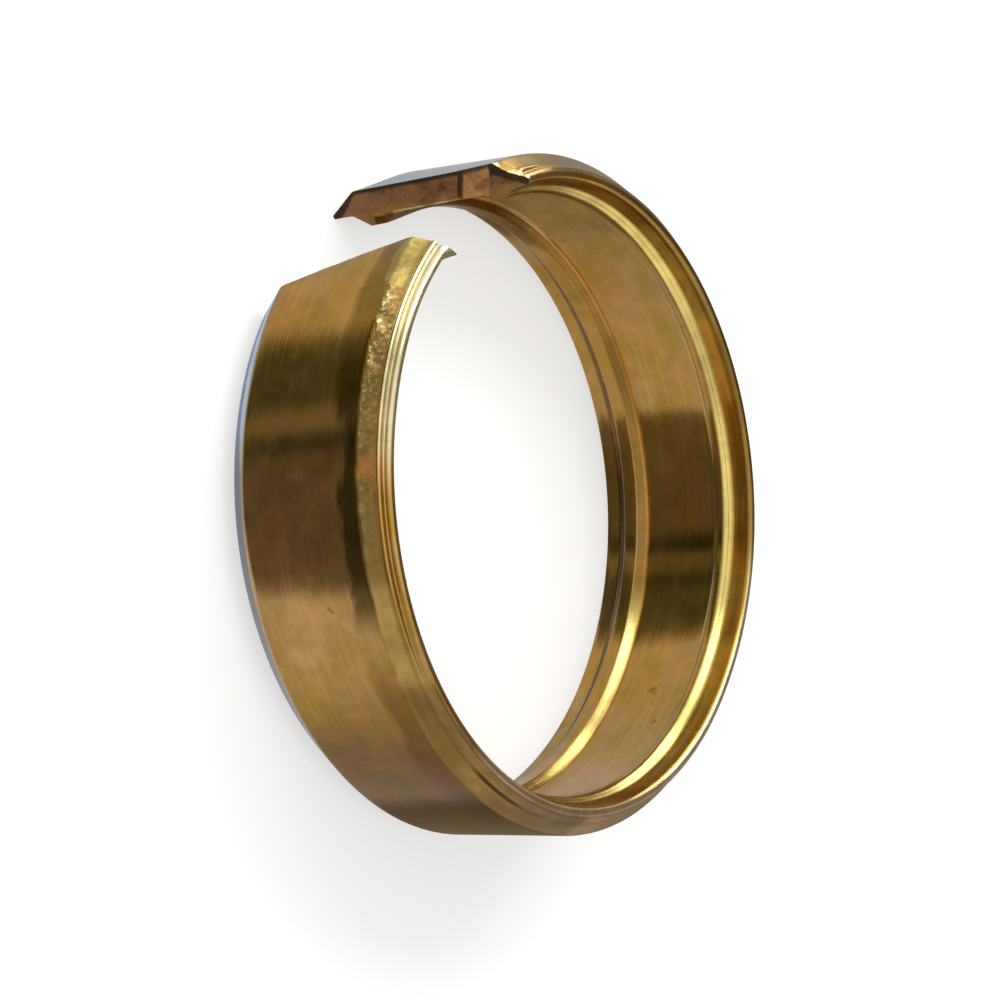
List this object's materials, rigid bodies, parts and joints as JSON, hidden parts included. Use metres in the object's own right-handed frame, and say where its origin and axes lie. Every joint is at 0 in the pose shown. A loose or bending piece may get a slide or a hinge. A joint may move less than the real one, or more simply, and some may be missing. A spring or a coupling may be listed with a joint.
{
  "type": "compression olive",
  "caption": "Split brass ring with bevelled ends and inner gripping ridges, squeezed onto a pipe by the nut of a compression fitting.",
  "frame": {"origin": "on the ring's axis at its back end, the face it stands on", "axes": "+Z along the ring's axis from the back end to the front end, +Y through the middle of the slit"},
  "size_m": [0.03, 0.0298, 0.0082],
  "materials": {
    "turned_brass": "bare turned brass with fine turning lines, a sawn slit and light tarnish"
  },
  "bodies": {
    "root": {"olive": "turned_brass"}
  },
  "joints": []
}
